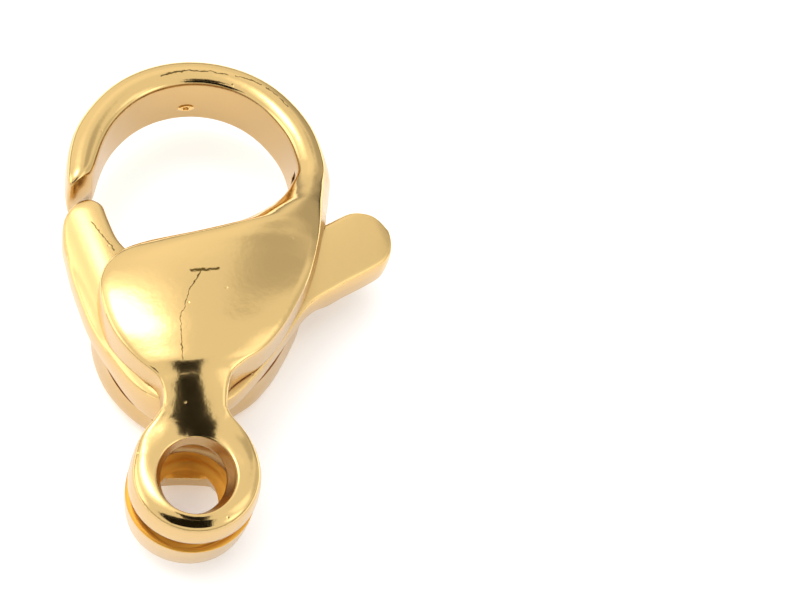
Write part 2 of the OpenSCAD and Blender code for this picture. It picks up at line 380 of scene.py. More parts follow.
def inner_row(a, b, shares, level_at):
    """Points of the inner face from a to b; the slot's upright end wall is kept in the same columns."""
    def level(s):
        return level_at(a[:2] + (b[:2] - a[:2]) * s)

    solid = SOLID_COLUMNS if level(0) == 0 and level(1) > 0 else 0
    if solid:
        # The wall's place, found by halving
        low, high = 0.0, 1.0
        for _ in range(14):
            half = (low + high) / 2
            low, high = (low, half) if level(half) > 0 else (half, high)
        shares = np.concatenate([np.linspace(0, high, solid), np.linspace(high, 1, len(shares) - solid)])
    row = [a]
    for k, s in enumerate(shares[1:-1], start=1):
        row.append(np.array([*(a[:2] + (b[:2] - a[:2]) * s), 0.0 if k < solid else level(s)]))
    return [*row, b]


def body_rows():
    """The stations of plate and hook as rows: both edges, their heights, the crown and both swells."""
    rows = [(*l, *r, zl, zr, crown, bl, br) for l, r, zl, zr, crown, bl, br in PLATE]
    for a, b, inner, outer, z, crown, bl, br in BAND:
        a, b = math.radians(a), math.radians(b)
        rows.append((
            HOOK[0] + inner * math.cos(a), HOOK[1] + inner * math.sin(a),
            HOOK[0] + outer * math.cos(b), HOOK[1] + outer * math.sin(b), z, z, crown, bl, br,
        ))
    return rows


def body_sections(rows, normal_left, normal_right, level_at):
    """Cross-sections of plate and hook: the face, both walls and the inner face."""
    sections = []
    for i, row in enumerate(rows):
        share = max(i - (len(rows) - 1 - END_ROWS), 0) / END_ROWS
        p, q, inset = draw_in(row[0:2], row[2:4], share, TIP_ROUND)
        z_left, z_right = row[4] - inset, row[5] - inset
        crown, swell_left, swell_right = row[6:]
        width = np.linalg.norm(q - p)
        d = across(width, BODY_COLUMNS)
        t = d / width
        drop = rounding(np.minimum(d, width - d))
        base = z_left + (z_right - z_left) * t + crown * (1 - (2 * t - 1) ** 2)
        top = np.column_stack([p + np.outer(t, q - p), base - drop])
        wall_right = wall(top[-1], normal_right[i], swell_right, level_at(q))
        wall_left = wall(top[0], normal_left[i], swell_left, level_at(p))
        inner = inner_row(np.array(wall_right[-1]), np.array(wall_left[-1]), t, level_at)
        sections.append(Section(top, base, drop, wall_right, inner, wall_left))
    return sections


def ring_outline(z_left, z_right):
    """Points of the end ring's rim, evenly apart, from the neck's right side round to its left one."""
    left, right = PLATE[0][:2]
    start = math.degrees(math.atan2(right[1], right[0]))
    end = -360 + math.degrees(math.atan2(left[1], left[0]))
    edge = [(start, math.hypot(*right), z_right), *RING_EDGE, (end, math.hypot(*left), z_left)]
    points = [(r * math.cos(math.radians(a)), r * math.sin(math.radians(a)), z) for a, r, z in edge]
    return evenly(points, RING_STEP, lambda r: r[:, :2])


def ring_spoke(rim, base, drop, low, climb, gap):
    """Points from the ring's rim over its face, down its hole and out along the gap to the point low."""
    turn = math.atan2(rim[1] - FACE_EDGE[1], rim[0] - FACE_EDGE[0])
    unit = np.array([math.cos(turn), math.sin(turn)])
    edge = FACE_EDGE + FACE_EDGE_R * unit
    length = np.linalg.norm(rim[:2] - edge)
    # The face rounds over from the hole's edge to the rim, but climbs from it into the neck
    neck = soft_step((math.sin(turn) - 0.30) / 0.55)
    m0 = (-0.02 + 0.38 * neck) * length
    m1 = (climb * unit[1] if climb is not None else -0.80 + 1.12 * neck) * length
    d = np.concatenate([RIM_STEPS, np.linspace(RIM, length, 14)[1:]])
    q = 1 - d / length
    z = (
        (2 * q**3 - 3 * q**2 + 1) * FACE_EDGE_Z + (q**3 - 2 * q**2 + q) * m0
        + (-2 * q**3 + 3 * q**2) * base + (q**3 - q**2) * m1
    )
    z = z - drop * rounding(d) / RIM
    line = rim[:2] - edge
    spoke = [[*(edge + line * (1 - a / length)), b] for a, b in zip(d, z)]
    throat = THROAT + THROAT_R * unit
    for share, fall in LIP:
        spoke.append([*(edge + (throat - edge) * share), FACE_EDGE_Z + fall])
    lip_end = FACE_EDGE_Z + fall
    for down in THROAT_SHARES:
        level = lip_end + (THROAT_Z - lip_end) * (down - share) / (1 - share)
        spoke.append([*(edge + (throat - edge) * down), level])
    for out, level in [*WIDENING, (GAP_EDGE, gap)]:
        spoke.append([*(throat + out * unit), level])
    start = throat + GAP_EDGE * unit
    for s in (0.5, 1.0):
        spoke.append([*(start + (low[:2] - start) * s), gap])
    return spoke


def add_ring(bm, sections, outline, normals, gap):
    """Adds the end ring's front half, with a spoke from each point of the neck's edge and outline."""
    first, above = sections[0], sections[4]
    # How steeply the plate's face climbs from the ring, so that the ring's face can meet it evenly
    climb = (above.base - first.base) / (above.top[:, 1] - first.top[:, 1])
    low = np.array(first.inner[::-1])
    spokes = [
        ring_spoke(*spoke, gap) for spoke in zip(first.top, first.base, first.drop, low, climb)
    ]
    walls = [[first.top[-1], *first.wall_right]]
    for (x, y, z), normal in zip(outline[1:-1], normals):
        rim = np.array([x, y, z - RIM])
        side = wall(rim, normal, RING_SWELL, gap)
        walls.append([rim, *side])
        spokes.append(ring_spoke(rim, z, RIM, np.array(side[-1]), None, gap))
    walls.append([first.top[0], *first.wall_left])
    spokes.append(spokes[0])
    grid(bm, spokes)
    grid(bm, walls)


def smooth_neck(bm, contour):
    """Smooths the faces where the neck flows into the ring, most of all in their middle."""
    # The distance kept from the edges, and how many times
    for clear, times in [(0.02, 5), (0.12, 8), (0.24, 14)]:
        joining = []
        for v in bm.verts:
            xy = np.array(v.co)[:2]
            near = 0.4 < v.co.y < 2.5 - clear and v.co.z > 1.15
            if near and np.linalg.norm(xy - FACE_EDGE) > FACE_EDGE_R + clear / 2:
                if np.min(np.linalg.norm(contour - xy, axis=1)) > RIM + clear:
                    joining.append(v)
        for _ in range(times):
            bmesh.ops.smooth_vert(
                bm, verts=joining, factor=0.5, use_axis_x=True, use_axis_y=True, use_axis_z=True
            )


def draft(bm):
    """Flares the back half as the mould left it: its rims stand further out, and the ring's deeper."""
    for v in bm.verts:
        ring = soft_step((2.3 - v.co.y) / 0.8)
        flare = FLARE * soft_step((6.6 - v.co.y) / 1.2) * soft_step(-(v.co.z + 0.5) / 1.3) * (1 - ring)
        depth = max(1.0 - v.co.z, 0)
        v.co.x += flare * (v.co.x - FLARE_MIDDLE[0]) - RING_SHIFT[0] * depth * ring
        v.co.y += flare * (v.co.y - FLARE_MIDDLE[1]) - RING_SHIFT[1] * depth * ring
        v.co.z -= RING_DEEPER * ring * soft_step(-(v.co.z + 0.5) / 0.7)
        if v.co.z < 0:
            v.co.z += RING_NEARER * ring * soft_step((v.co.z + 0.8) / 0.3)


def flatten_hole(bm):
    """Ends the hole through the ring's back half in a flat on the neck's side."""
    for v in bm.verts:
        if v.co.z < -1.05 and FLAT_Y < v.co.y < 1.15 and abs(v.co.x) < 0.9:
            v.co.y = FLAT_Y + (v.co.y - FLAT_Y) * 0.15


def raise_pip(bm):
    """Raises the casting gate's pip on the hook's inner wall: a low ring about a dimple."""
    around = [
        e for e in bm.edges if all(np.linalg.norm(np.array(v.co) - PIP) < 2.2 * PIP_R for v in e.verts)
    ]
    bmesh.ops.subdivide_edges(bm, edges=around, cuts=3, use_grid_fill=True)
    for v in bm.verts:
        away = np.array(v.co) - PIP
        inward = HOOK - np.array(v.co)[:2]
        if np.linalg.norm(away * (1, 0.6, 1)) < 0.6 and np.linalg.norm(inward) < 3.1:
            # The ring is highest at three quarters of the radius, and the dimple deepest in the middle
            r = math.hypot(away[0] / PIP_R, away[2] / PIP_HIGH)
            lift = 0.06 * math.exp(-((r - 0.75) ** 2) * 8) - 0.05 * math.exp(-(r**2) * 4)
            v.co.xy += Vector(inward / np.linalg.norm(inward)) * lift


def mirror_and_close(bm):
    """Mirrors the front half to the back and fills what is left open."""
    bmesh.ops.mirror(bm, geom=bm.verts[:] + bm.edges[:] + bm.faces[:], axis="Z", merge_dist=1e-4)
    bmesh.ops.holes_fill(bm, edges=[e for e in bm.edges if e.is_boundary], sides=0)


def build_body(gap, slot):
    """The casting in mm about the end ring; gap and slot are half the heights of its two openings."""
    rows = evenly(body_rows(), BODY_STEP, lambda r: (r[:, 0:2] + r[:, 2:4]) / 2)
    left, right = rows[:, 0:2], rows[:, 2:4]
    outline = ring_outline(rows[0, 4], rows[0, 5])
    contour = np.concatenate([right[::-1], outline[1:-1, :2], left])
    inside = np.concatenate([left[::-1], np.zeros((len(outline) - 2, 2)), right])
    normals = outward(contour, inside)
    n = len(rows)

    sections = body_sections(
        rows, normals[-n:], normals[:n][::-1], lambda xy: inner_level(*xy, gap, slot)
    )
    bm = bmesh.new()
    loops = [[*s.top, *s.wall_right[:-1], *s.inner, *s.wall_left[:-1][::-1]] for s in sections]
    grid(bm, loops, close=True)
    add_ring(bm, sections, outline, normals[n:-n], gap)
    bmesh.ops.remove_doubles(bm, verts=bm.verts, dist=1e-4)
    smooth_neck(bm, contour)

    # Where the casting is solid, its inner face lies in the middle plane and goes
    flat = [f for f in bm.faces if all(abs(v.co.z) < 1e-6 for v in f.verts)]
    bmesh.ops.delete(bm, geom=flat, context="FACES")
    bmesh.ops.dissolve_degenerate(bm, dist=1e-5, edges=bm.edges)
    mirror_and_close(bm)

    draft(bm)
    flatten_hole(bm)
    raise_pip(bm)
    return bm


def lever_sections(half):
    """Lines over the lever's front half, from the middle plane up one wall and down the other."""
    rows = evenly([(*o, *i) for o, i in LEVER], LEVER_STEP, lambda r: r[:, 0:2] * 0.6 + r[:, 2:4] * 0.4)
    outer, inner = rows[:, 0:2], rows[:, 2:4]
    normal_outer, normal_inner = outward(outer, inner), outward(inner, outer)
    lines = []
    for i in range(len(rows)):
        share = max(END_ROWS - min(i, len(rows) - 1 - i), 0) / END_ROWS
        p, q, inset = draw_in(outer[i], inner[i], share, LEVER_ROUND)
        width = np.linalg.norm(q - p)
        # A row narrower than its two rims has its points evenly apart
        even = np.linspace(0, width, LEVER_COLUMNS + 2 * len(RIM_STEPS))
        d = across(width, LEVER_COLUMNS) if width > 0.3 else even
        t = d / width
        xy = p + np.outer(t, q - p)
        # The hub's rim is sharper: it only meets the slot
        sharp = soft_step((p[0] + 1.2) / 0.5) * soft_step((3.3 - p[0]) / 0.4)
        drop = rounding(np.minimum(d, width - d)) * (1 - 0.7 * sharp)
        z = [max(arm_crown(*a), half + TAB_CROWN * (1 - (2 * s - 1) ** 2)) for a, s in zip(xy, t)]
        top = np.column_stack([xy, np.array(z) - drop - inset])
        down_outer = wall(top[0], normal_outer[i], LEVER_SWELL, 0.0)
        down_inner = wall(top[-1], normal_inner[i], LEVER_SWELL, 0.0)
        lines.append([*down_outer[::-1], *top, *down_inner])
    return lines


def cut_bore(bm):
    """Opens the bore for the pin: the faces over it go, and the edge left is drawn to a circle."""
    over = [f for f in bm.faces if np.linalg.norm(np.array(f.calc_center_median())[:2] - PIVOT) < BORE_R]
    bmesh.ops.delete(bm, geom=over, context="FACES")
    rim = [
        e for e in bm.edges
        if e.is_boundary and all(np.linalg.norm(np.array(v.co)[:2] - PIVOT) < 1.2 for v in e.verts)
    ]
    for v in {v for e in rim for v in e.verts}:
        away = np.array(v.co)[:2] - PIVOT
        v.co.xy = Vector(PIVOT + away / np.linalg.norm(away) * BORE_R)
    made = bmesh.ops.extrude_edge_only(bm, edges=rim)["geom"]
    fresh = {v for v in made if isinstance(v, bmesh.types.BMVert)}
    for v in fresh:
        v.co.z = 0

    # Extruding makes the bore's wall in any order, so its parts are put in order round the bore; the
    # vertices come last, because once they are sorted the fresh ones aren't known any more
    for parts in (bm.faces, bm.edges, bm.verts):
        parts.index_update()
        parts.sort(key=lambda part, last=len(parts): place_in_order(part, fresh, last))


def place_in_order(part, fresh, last):
    """A part's own place; with fresh vertices, a place past the last by its turn round the bore."""
    corners = [part] if isinstance(part, bmesh.types.BMVert) else list(part.verts)
    if not any(v in fresh for v in corners):
        return part.index
    x, y = np.mean([v.co for v in corners], axis=0)[:2] - PIVOT
    return last + math.pi + math.atan2(y, x)


def build_lever(half):
    """The lever in mm about the end ring; half is half the thickness of its hub and tab."""
    bm = bmesh.new()
    grid(bm, lever_sections(half))
    cut_bore(bm)
    bmesh.ops.remove_doubles(bm, verts=bm.verts, dist=1e-5)
    mirror_and_close(bm)
    for v in bm.verts:
        if v.co.z < 0:
            v.co.z *= 1 + TAB_BACK * soft_step((v.co.x - 3.5) / 0.5)
    return bm


def add_object(bm, name, materials):
    """Turns a bmesh into an object of the scene, with its materials."""
    mesh = bpy.data.meshes.new(name)
    bm.to_mesh(mesh)
    bm.free()
    for material in materials:
        mesh.materials.append(material)
    made = bpy.data.objects.new(name, mesh)
    bpy.context.scene.collection.objects.link(made)
    return made


def finish_of(face, finishes):
    """Which finish a face has: 0 polished faces and the pip, 1 satin walls, 2 dull inner faces with
    painted shade.
    """
    middle = face.calc_center_median()
    x, y, z = (middle - RING) / MM - Vector(PIP)
    if math.hypot(x, y) < PIP_R and math.hypot(x / PIP_R, z / PIP_HIGH) < 1:
        return 0
    height = middle.z - RING.z
    facing_in = abs(height) < 1.2 * MM and face.normal.z * height < -0.2 * abs(height)
    if finishes > 2 and facing_in and middle.y < RING.y + 9.8 * MM:
        return 2
    return 0 if abs(face.normal.z) > 0.55 else 1


def finish_piece(bm, name, materials, body, node):
    """Puts a bmesh in mm about the end ring into the frame, in place of a node, with its finishes."""
    bmesh.ops.recalc_face_normals(bm, faces=bm.faces)
    bmesh.ops.scale(bm, vec=(MM, MM, MM), verts=bm.verts)
    bmesh.ops.translate(bm, vec=RING, verts=bm.verts)
    for f in bm.faces:
        f.smooth = True
        f.material_index = finish_of(f, len(materials))
    piece = add_object(bm, name, materials)
    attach(piece, body)
    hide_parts(node)


def linear(hex_colour):
    """An sRGB hex colour as linear RGBA."""
    parts = [int(hex_colour[i : i + 2], 16) / 255 for i in (1, 3, 5)]
    return tuple(c / 12.92 if c <= 0.04045 else ((c + 0.055) / 1.055) ** 2.4 for c in parts) + (1.0,)


def add_node(tree, kind, settings=None, links=None):
    """A node with its settings, names to values, and its links, inputs to output sockets."""
    node = tree.nodes.new(kind)
    for key, value in (settings or {}).items():
        if isinstance(key, str) and hasattr(node, key):
            setattr(node, key, value)
        else:
            node.inputs[key].default_value = value
    for key, socket in (links or {}).items():
        tree.links.new(socket, node.inputs[key])
    return node


def new_material(name):
    """An empty material, its node tree and the place on the object, which every pattern reads.

    A pattern's scale is how many grains, waves or cells it has in a metre, so a number over MM is how
    many it has in a millimetre.
    """
    material = bpy.data.materials.new(name)
    material.use_nodes = True
    tree = material.node_tree
    tree.nodes.clear()
    return material, tree, add_node(tree, "ShaderNodeTexCoord").outputs["Object"]


def finish_material(tree, settings, links):
    """Ends a material with its surface shader."""
    shader = add_node(tree, "ShaderNodeBsdfPrincipled", settings, links)
    add_node(tree, "ShaderNodeOutputMaterial", None, {"Surface": shader.outputs["BSDF"]})


def line_distance(tree, place, start, end):
    """Distance in mm from a straight line between two points of the front face, seen from above."""
    a, b = (np.array(p) * MM + np.array(RING)[:2] for p in (start, end))
    run = b - a
    from_start = add_node(
        tree, "ShaderNodeVectorMath", {"operation": "SUBTRACT", 1: (*a, 0)}, {0: place}
    ).outputs["Vector"]
    flat = add_node(
        tree, "ShaderNodeVectorMath", {"operation": "MULTIPLY", 1: (1, 1, 0)}, {0: from_start}
    ).outputs["Vector"]
    scaled = run / (run @ run)
    along = add_node(
        tree, "ShaderNodeVectorMath", {"operation": "DOT_PRODUCT", 1: (*scaled, 0)}, {0: flat}
    ).outputs["Value"]
    share = add_node(
        tree, "ShaderNodeMath", {"operation": "ADD", "use_clamp": True, 1: 0.0}, {0: along}
    ).outputs["Value"]
    nearest = add_node(
        tree, "ShaderNodeVectorMath", {"operation": "SCALE", 0: (*run, 0)}, {"Scale": share}
    ).outputs["Vector"]
    gap = add_node(
        tree, "ShaderNodeVectorMath", {"operation": "DISTANCE"}, {0: flat, 1: nearest}
    ).outputs["Value"]
    return add_node(tree, "ShaderNodeMath", {"operation": "DIVIDE", 1: MM}, {0: gap}).outputs["Value"]


def with_painted_reflection_lines(tree, place, colour, reflection_line_colour, reflection_lines):
    """The plating's colour, darker along fine ragged lines of the front face: painted dark reflections.
    """
    # The lines wander by up to 0.07 mm either way, over lengths of about 0.15 mm
    shift = add_node(tree, "ShaderNodeTexNoise", {"Scale": 7 / MM, "Detail": 3.0}, {"Vector": place})
    centred = add_node(
        tree, "ShaderNodeVectorMath", {"operation": "SUBTRACT", 1: (0.5, 0.5, 0.5)},
        {0: shift.outputs["Color"]},
    ).outputs["Vector"]
    ragged = add_node(
        tree, "ShaderNodeVectorMath", {"operation": "MULTIPLY_ADD", 1: (0.14 * MM,) * 3},
        {0: centred, 2: place},
    ).outputs["Vector"]
    # Only the front face carries them: everything further back is clear
    height = add_node(tree, "ShaderNodeSeparateXYZ", None, {"Vector": place}).outputs["Z"]
    clear = None
    for start, end, half in reflection_lines:
        beside = add_node(
            tree, "ShaderNodeMapRange", {"From Min": half * 0.6, "From Max": half * 1.6},
            {"Value": line_distance(tree, ragged, start, end)},
        ).outputs["Result"]
        if clear is not None:
            beside = add_node(
                tree, "ShaderNodeMath", {"operation": "MINIMUM"}, {0: clear, 1: beside}
            ).outputs["Value"]
        clear = beside
    back = add_node(
        tree, "ShaderNodeMath", {"operation": "LESS_THAN", 1: RING.z + 0.6 * MM}, {0: height}
    ).outputs["Value"]
    clear = add_node(
        tree, "ShaderNodeMath", {"operation": "MAXIMUM"}, {0: clear, 1: back}
    ).outputs["Value"]
    return add_node(
        tree, "ShaderNodeMix", {"data_type": "RGBA", 6: reflection_line_colour, 7: colour}, {"Factor": clear}
    ).outputs[2]


def gold_face(colour, reflection_line_colour, reflection_lines, blur):
    """Gold plating over barrel-polished cast steel: a near mirror, a little wavy, with sparse fine pits.

    Blur is its least and its greatest roughness.
    """
    material, tree, place = new_material("barrel-polished gold plate")
    # Waves about 2.5 mm long, left by the tumbling, bend the reflections a little
    waves = add_node(
        tree, "ShaderNodeTexNoise", {"Scale": 0.4 / MM, "Detail": 1.0}, {"Vector": place}
    ).outputs["Fac"]
    waved = add_node(
        tree, "ShaderNodeBump", {"Strength": 0.2, "Distance": 0.02 * MM}, {"Height": waves}
    ).outputs["Normal"]
    # The cast grain under the polish, about 0.2 mm across, makes the edges of the reflections ragged
    grain = add_node(
        tree, "ShaderNodeTexNoise", {"Scale": 5 / MM, "Detail": 2.0}, {"Vector": place}
    ).outputs["Fac"]
    grained = add_node(
        tree, "ShaderNodeBump", {"Strength": 0.5, "Distance": 0.0055 * MM},
        {"Height": grain, "Normal": waved},
    ).outputs["Normal"]
    # Sparse pits about 0.08 mm wide
    cells = add_node(
        tree, "ShaderNodeTexVoronoi", {"Scale": 1.4 / MM, "Randomness": 1.0}, {"Vector": place}
    ).outputs["Distance"]
    pits = add_node(
        tree, "ShaderNodeMapRange", {"From Min": 0.03, "From Max": 0.07}, {"Value": cells}
    ).outputs["Result"]
    pitted = add_node(
        tree, "ShaderNodeBump", {"Strength": 0.6, "Distance": 0.01 * MM},
        {"Height": pits, "Normal": grained},
    ).outputs["Normal"]
    # Tumbled patches differ a little in how much they blur
    rough = add_node(
        tree, "ShaderNodeMapRange", {"To Min": blur[0], "To Max": blur[1]}, {"Value": waves}
    ).outputs["Result"]
    # The colour carries the painted dark reflection lines of the front face
    tint = with_painted_reflection_lines(tree, place, colour, reflection_line_colour, reflection_lines)
    finish_material(tree, {"Metallic": 1.0}, {"Base Color": tint, "Normal": pitted, "Roughness": rough})
    return material


def gold_wall_painted_shade(colour):
    """Gold plating over cast walls that tumbling hardly reached: satin, with a grain of about 0.1 mm; its
    colour is kept darker than the faces' gold as painted shade.
    """
    material, tree, place = new_material("satin gold plate over casting, with painted shade")
    grain = add_node(
        tree, "ShaderNodeTexNoise", {"Scale": 9 / MM, "Detail": 3.0}, {"Vector": place}
    ).outputs["Fac"]
    grained = add_node(
        tree, "ShaderNodeBump", {"Strength": 0.4, "Distance": 0.006 * MM}, {"Height": grain}
    ).outputs["Normal"]
    # The walls' colour is darker than the faces' gold: painted shade
    finish_material(
        tree, {"Base Color": colour, "Metallic": 1.0, "Roughness": 0.24}, {"Normal": grained}
    )
    return material


def recess_with_painted_shade(colour, slot_shade_colour):
    """Dull plating on inner faces, as cast, with painted shade: darker golden orange in the ring's gap
    and dark brown in the slot.
    """
    material, tree, place = new_material("dull gold plate with painted shade")
    grain = add_node(
        tree, "ShaderNodeTexNoise", {"Scale": 6 / MM, "Detail": 3.0}, {"Vector": place}
    ).outputs["Fac"]
    grained = add_node(
        tree, "ShaderNodeBump", {"Strength": 0.4, "Distance": 0.01 * MM}, {"Height": grain}
    ).outputs["Normal"]
    up = add_node(tree, "ShaderNodeSeparateXYZ", None, {"Vector": place}).outputs["Y"]
    in_slot = add_node(
        tree, "ShaderNodeMapRange", {"From Min": RING.y + 1.8 * MM, "From Max": RING.y + 2.3 * MM},
        {"Value": up},
    ).outputs["Result"]
    # Painted shade: darker, oranger gold in the ring's gap and dark brown in the slot
    tint = add_node(
        tree, "ShaderNodeMix", {"data_type": "RGBA", 6: colour, 7: slot_shade_colour}, {"Factor": in_slot}
    ).outputs[2]
    finish_material(tree, {"Metallic": 1.0, "Roughness": 0.45}, {"Base Color": tint, "Normal": grained})
    return material


def drawn_wire(colour):
    """Drawn steel wire, cut for the pin: plain and satin, with grain about 0.15 mm across."""
    material, tree, place = new_material("drawn steel wire")
    grain = add_node(
        tree, "ShaderNodeTexNoise", {"Scale": 6 / MM, "Detail": 2.0}, {"Vector": place}
    ).outputs["Fac"]
    grained = add_node(
        tree, "ShaderNodeBump", {"Strength": 0.3, "Distance": 0.004 * MM}, {"Height": grain}
    ).outputs["Normal"]
    finish_material(
        tree, {"Base Color": colour, "Metallic": 1.0, "Roughness": 0.3}, {"Normal": grained}
    )
    return material


def pale_table(colour):
    """A light table's matt acrylic sheet: it glows a little, so the shadows on it are pale and soft."""
    material, tree, place = new_material("matt white acrylic sheet")
    grain = add_node(
        tree, "ShaderNodeTexNoise", {"Scale": 0.7 / MM, "Detail": 4.0}, {"Vector": place}
    ).outputs["Fac"]
    grained = add_node(
        tree, "ShaderNodeBump", {"Strength": 0.15, "Distance": 0.03 * MM}, {"Height": grain}
    ).outputs["Normal"]
    finish_material(
        tree,
        {
            "Base Color": colour, "Roughness": 0.85, "Specular IOR Level": 0.2,
            "Emission Color": colour, "Emission Strength": 0.28,
        },
        {"Normal": grained},
    )
    return material


def black_felt(colour, nap_colour):
    """Black felt: it gives the dark reflection of the camera in the polished metal, a little mottled."""
    material, tree, place = new_material("black felt")
    nap = add_node(tree, "ShaderNodeTexNoise", {"Scale": 0.3 / MM}, {"Vector": place}).outputs["Fac"]
    ramp = add_node(tree, "ShaderNodeValToRGB", None, {"Fac": nap})
    ramp.color_ramp.elements[0].color = colour
    ramp.color_ramp.elements[1].color = nap_colour
    finish_material(
        tree, {"Roughness": 0.95, "Specular IOR Level": 0.0}, {"Base Color": ramp.outputs["Color"]}
    )
    return material


# Soft lights in the studio: direction as x and y of its stereographic map, with the zenith at 0, 0 and
# the horizon at distance 1; reach and softness in degrees; and what it adds to the even light
SOFT_LIGHTS = [
    ((-0.18, 0.12), 8, 6, 3.0),
    ((-0.20, 0.12), 16, 10, 0.65),
    ((-0.66, 0.00), 18, 9, 1.0),
    ((0.36, -0.08), 9, 6, 0.50),
    ((0.45, -0.34), 9, 6, 1.0),
    ((-0.32, 0.42), 18, 14, 0.10),
    ((-0.02, 0.42), 10, 8, 0.12),
    ((0.50, 0.54), 19, 8, -0.40),
    ((0.22, 0.27), 9, 6, -0.34),
    ((0.56, 0.10), 13, 6, -0.22),
]
# The lamp over the table: its place and its side, in metres, and how bright its face is
LAMP_PLACE = (-0.05, 0.06, 0.30)
LAMP_SIDE = 0.36
LAMP_RADIANCE = 1.8
TABLE_HALF = 0.6

# The camera's turn and shift, in mm from the end ring, solved from the round ring and hook in the photo,
# and its lift to lay the casting's back on the table
CAMERA_TURN = Vector((2.67031817, -0.0138521333, 0.259238402))
CAMERA_SHIFT = Vector((-5.56439830, 5.07916711, 48.0611752))
CAMERA_LIFT = 0.143
SENSOR_MM = 36.0
# Cards behind the camera, which the polished metal mirrors as the camera itself: middle, half width,
# lower and upper end in mm across the camera's view, and how far behind it they stand
CARDS = [(7, 11.5, -10, 16), (-2, 28, -46, -10.5)]
CARDS_BEHIND = 8


def studio_world(base, colour):
    """A pale room with soft lights, darker towards the horizon."""
    world = bpy.data.worlds.new("studio")
    world.use_nodes = True
    tree = world.node_tree
    tree.nodes.clear()
    toward = add_node(tree, "ShaderNodeTexCoord").outputs["Generated"]
    height = add_node(tree, "ShaderNodeSeparateXYZ", None, {"Vector": toward}).outputs["Z"]
    level = add_node(
        tree, "ShaderNodeMapRange",
        {
            "interpolation_type": "SMOOTHSTEP", "From Min": -0.03, "From Max": 0.30,
            "To Min": base * 0.3, "To Max": base,
        },
        {"Value": height},
    ).outputs["Result"]
    for (x, y), reach, soft, strength in SOFT_LIGHTS:
        k = 1 + x * x + y * y
        aim = (2 * x / k, 2 * y / k, (2 - k) / k)
        facing = add_node(
            tree, "ShaderNodeVectorMath", {"operation": "DOT_PRODUCT", 1: aim}, {0: toward}
        ).outputs["Value"]
        spot = add_node(
            tree, "ShaderNodeMapRange",
            {
                "interpolation_type": "SMOOTHSTEP", "To Min": 0.0, "To Max": strength,
                "From Min": math.cos(math.radians(reach + soft)),
                "From Max": math.cos(math.radians(max(reach - soft, 0))),
            },
            {"Value": facing},
        ).outputs["Result"]
        level = add_node(
            tree, "ShaderNodeMath", {"operation": "ADD"}, {0: level, 1: spot}
        ).outputs["Value"]
    background = add_node(tree, "ShaderNodeBackground", {"Color": colour}, {"Strength": level})
    add_node(tree, "ShaderNodeOutputWorld", None, {"Surface": background.outputs["Background"]})
    return world


def table_lamp():
    """A square lamp over the table, for the soft shadow; the metal doesn't mirror it."""
    light = bpy.data.lights.new("table light", "AREA")
    light.shape = "RECTANGLE"
    light.size = light.size_y = LAMP_SIDE
    light.energy = LAMP_RADIANCE * math.pi * LAMP_SIDE * LAMP_SIDE
    lamp = bpy.data.objects.new("table light", light)
    lamp.location = LAMP_PLACE
    lamp.rotation_euler = (-Vector(LAMP_PLACE)).to_track_quat("-Z", "Y").to_euler()
    lamp.visible_glossy = False
    bpy.context.scene.collection.objects.link(lamp)


def photo_camera(lens):
    """The camera at the photo's viewing angle, looking down on the clasp."""
    rotation = Matrix.Rotation(CAMERA_TURN.length, 3, CAMERA_TURN.normalized())
    back = rotation.transposed()
    place = -(back @ (CAMERA_SHIFT * MM)) + RING + Vector((0, 0, CAMERA_LIFT * MM))
    right, up, look = back @ Vector((1, 0, 0)), back @ Vector((0, -1, 0)), back @ Vector((0, 0, 1))
    data = bpy.data.cameras.new("camera")
    data.lens = lens
    data.sensor_width = SENSOR_MM
    data.clip_start = MM
    camera = bpy.data.objects.new("camera", data)
    camera.matrix_world = Matrix((
        (right.x, up.x, -look.x, place.x),
        (right.y, up.y, -look.y, place.y),
        (right.z, up.z, -look.z, place.z),
        (0, 0, 0, 1),
    ))
    bpy.context.scene.collection.objects.link(camera)
    return camera


def camera_cards(camera):
    """Black cards just behind the camera, hidden from it, so that they are only seen as reflections."""
    bm = bmesh.new()
    for middle, half, low, high in CARDS:
        card = bmesh.ops.create_grid(bm, x_segments=1, y_segments=1, size=1)["verts"]
        bmesh.ops.scale(bm, vec=(half * MM, (high - low) / 2 * MM, 1), verts=card)
        bmesh.ops.translate(bm, vec=(middle * MM, (high + low) / 2 * MM, CARDS_BEHIND * MM), verts=card)
    bmesh.ops.transform(bm, matrix=camera.matrix_world, verts=bm.verts)
    cards = add_object(bm, "camera front", [black_felt(linear("#0B0A08"), linear("#1C1A14"))])
    cards.visible_camera = False


def colour_setting(name, description, hex_colour):
    """A colour that a user may change, given as sRGB hex."""
    return bpy.props.FloatVectorProperty(
        name=name, description=description, default=linear(hex_colour)[:3], subtype="COLOR", size=3,
        min=0, max=1,
    )


def size_setting(name, description, millimetres):
    """A length that a user may change, given in mm."""
    return bpy.props.FloatProperty(
        name=name, description=description, default=millimetres * MM, subtype="DISTANCE", unit="LENGTH",
        min=0, precision=5,
    )


class ClaspSizes(bpy.types.PropertyGroup):
    """Heights of the openings and the thickness of the lever"""

    ring_gap: size_setting("Ring Gap", "Gap between the two halves of the end ring", 0.90)
    slot: size_setting("Slot", "Height of the slot in which the lever turns", 1.12)
    lever: size_setting("Lever", "Thickness of the lever's hub and thumb tab", 0.98)


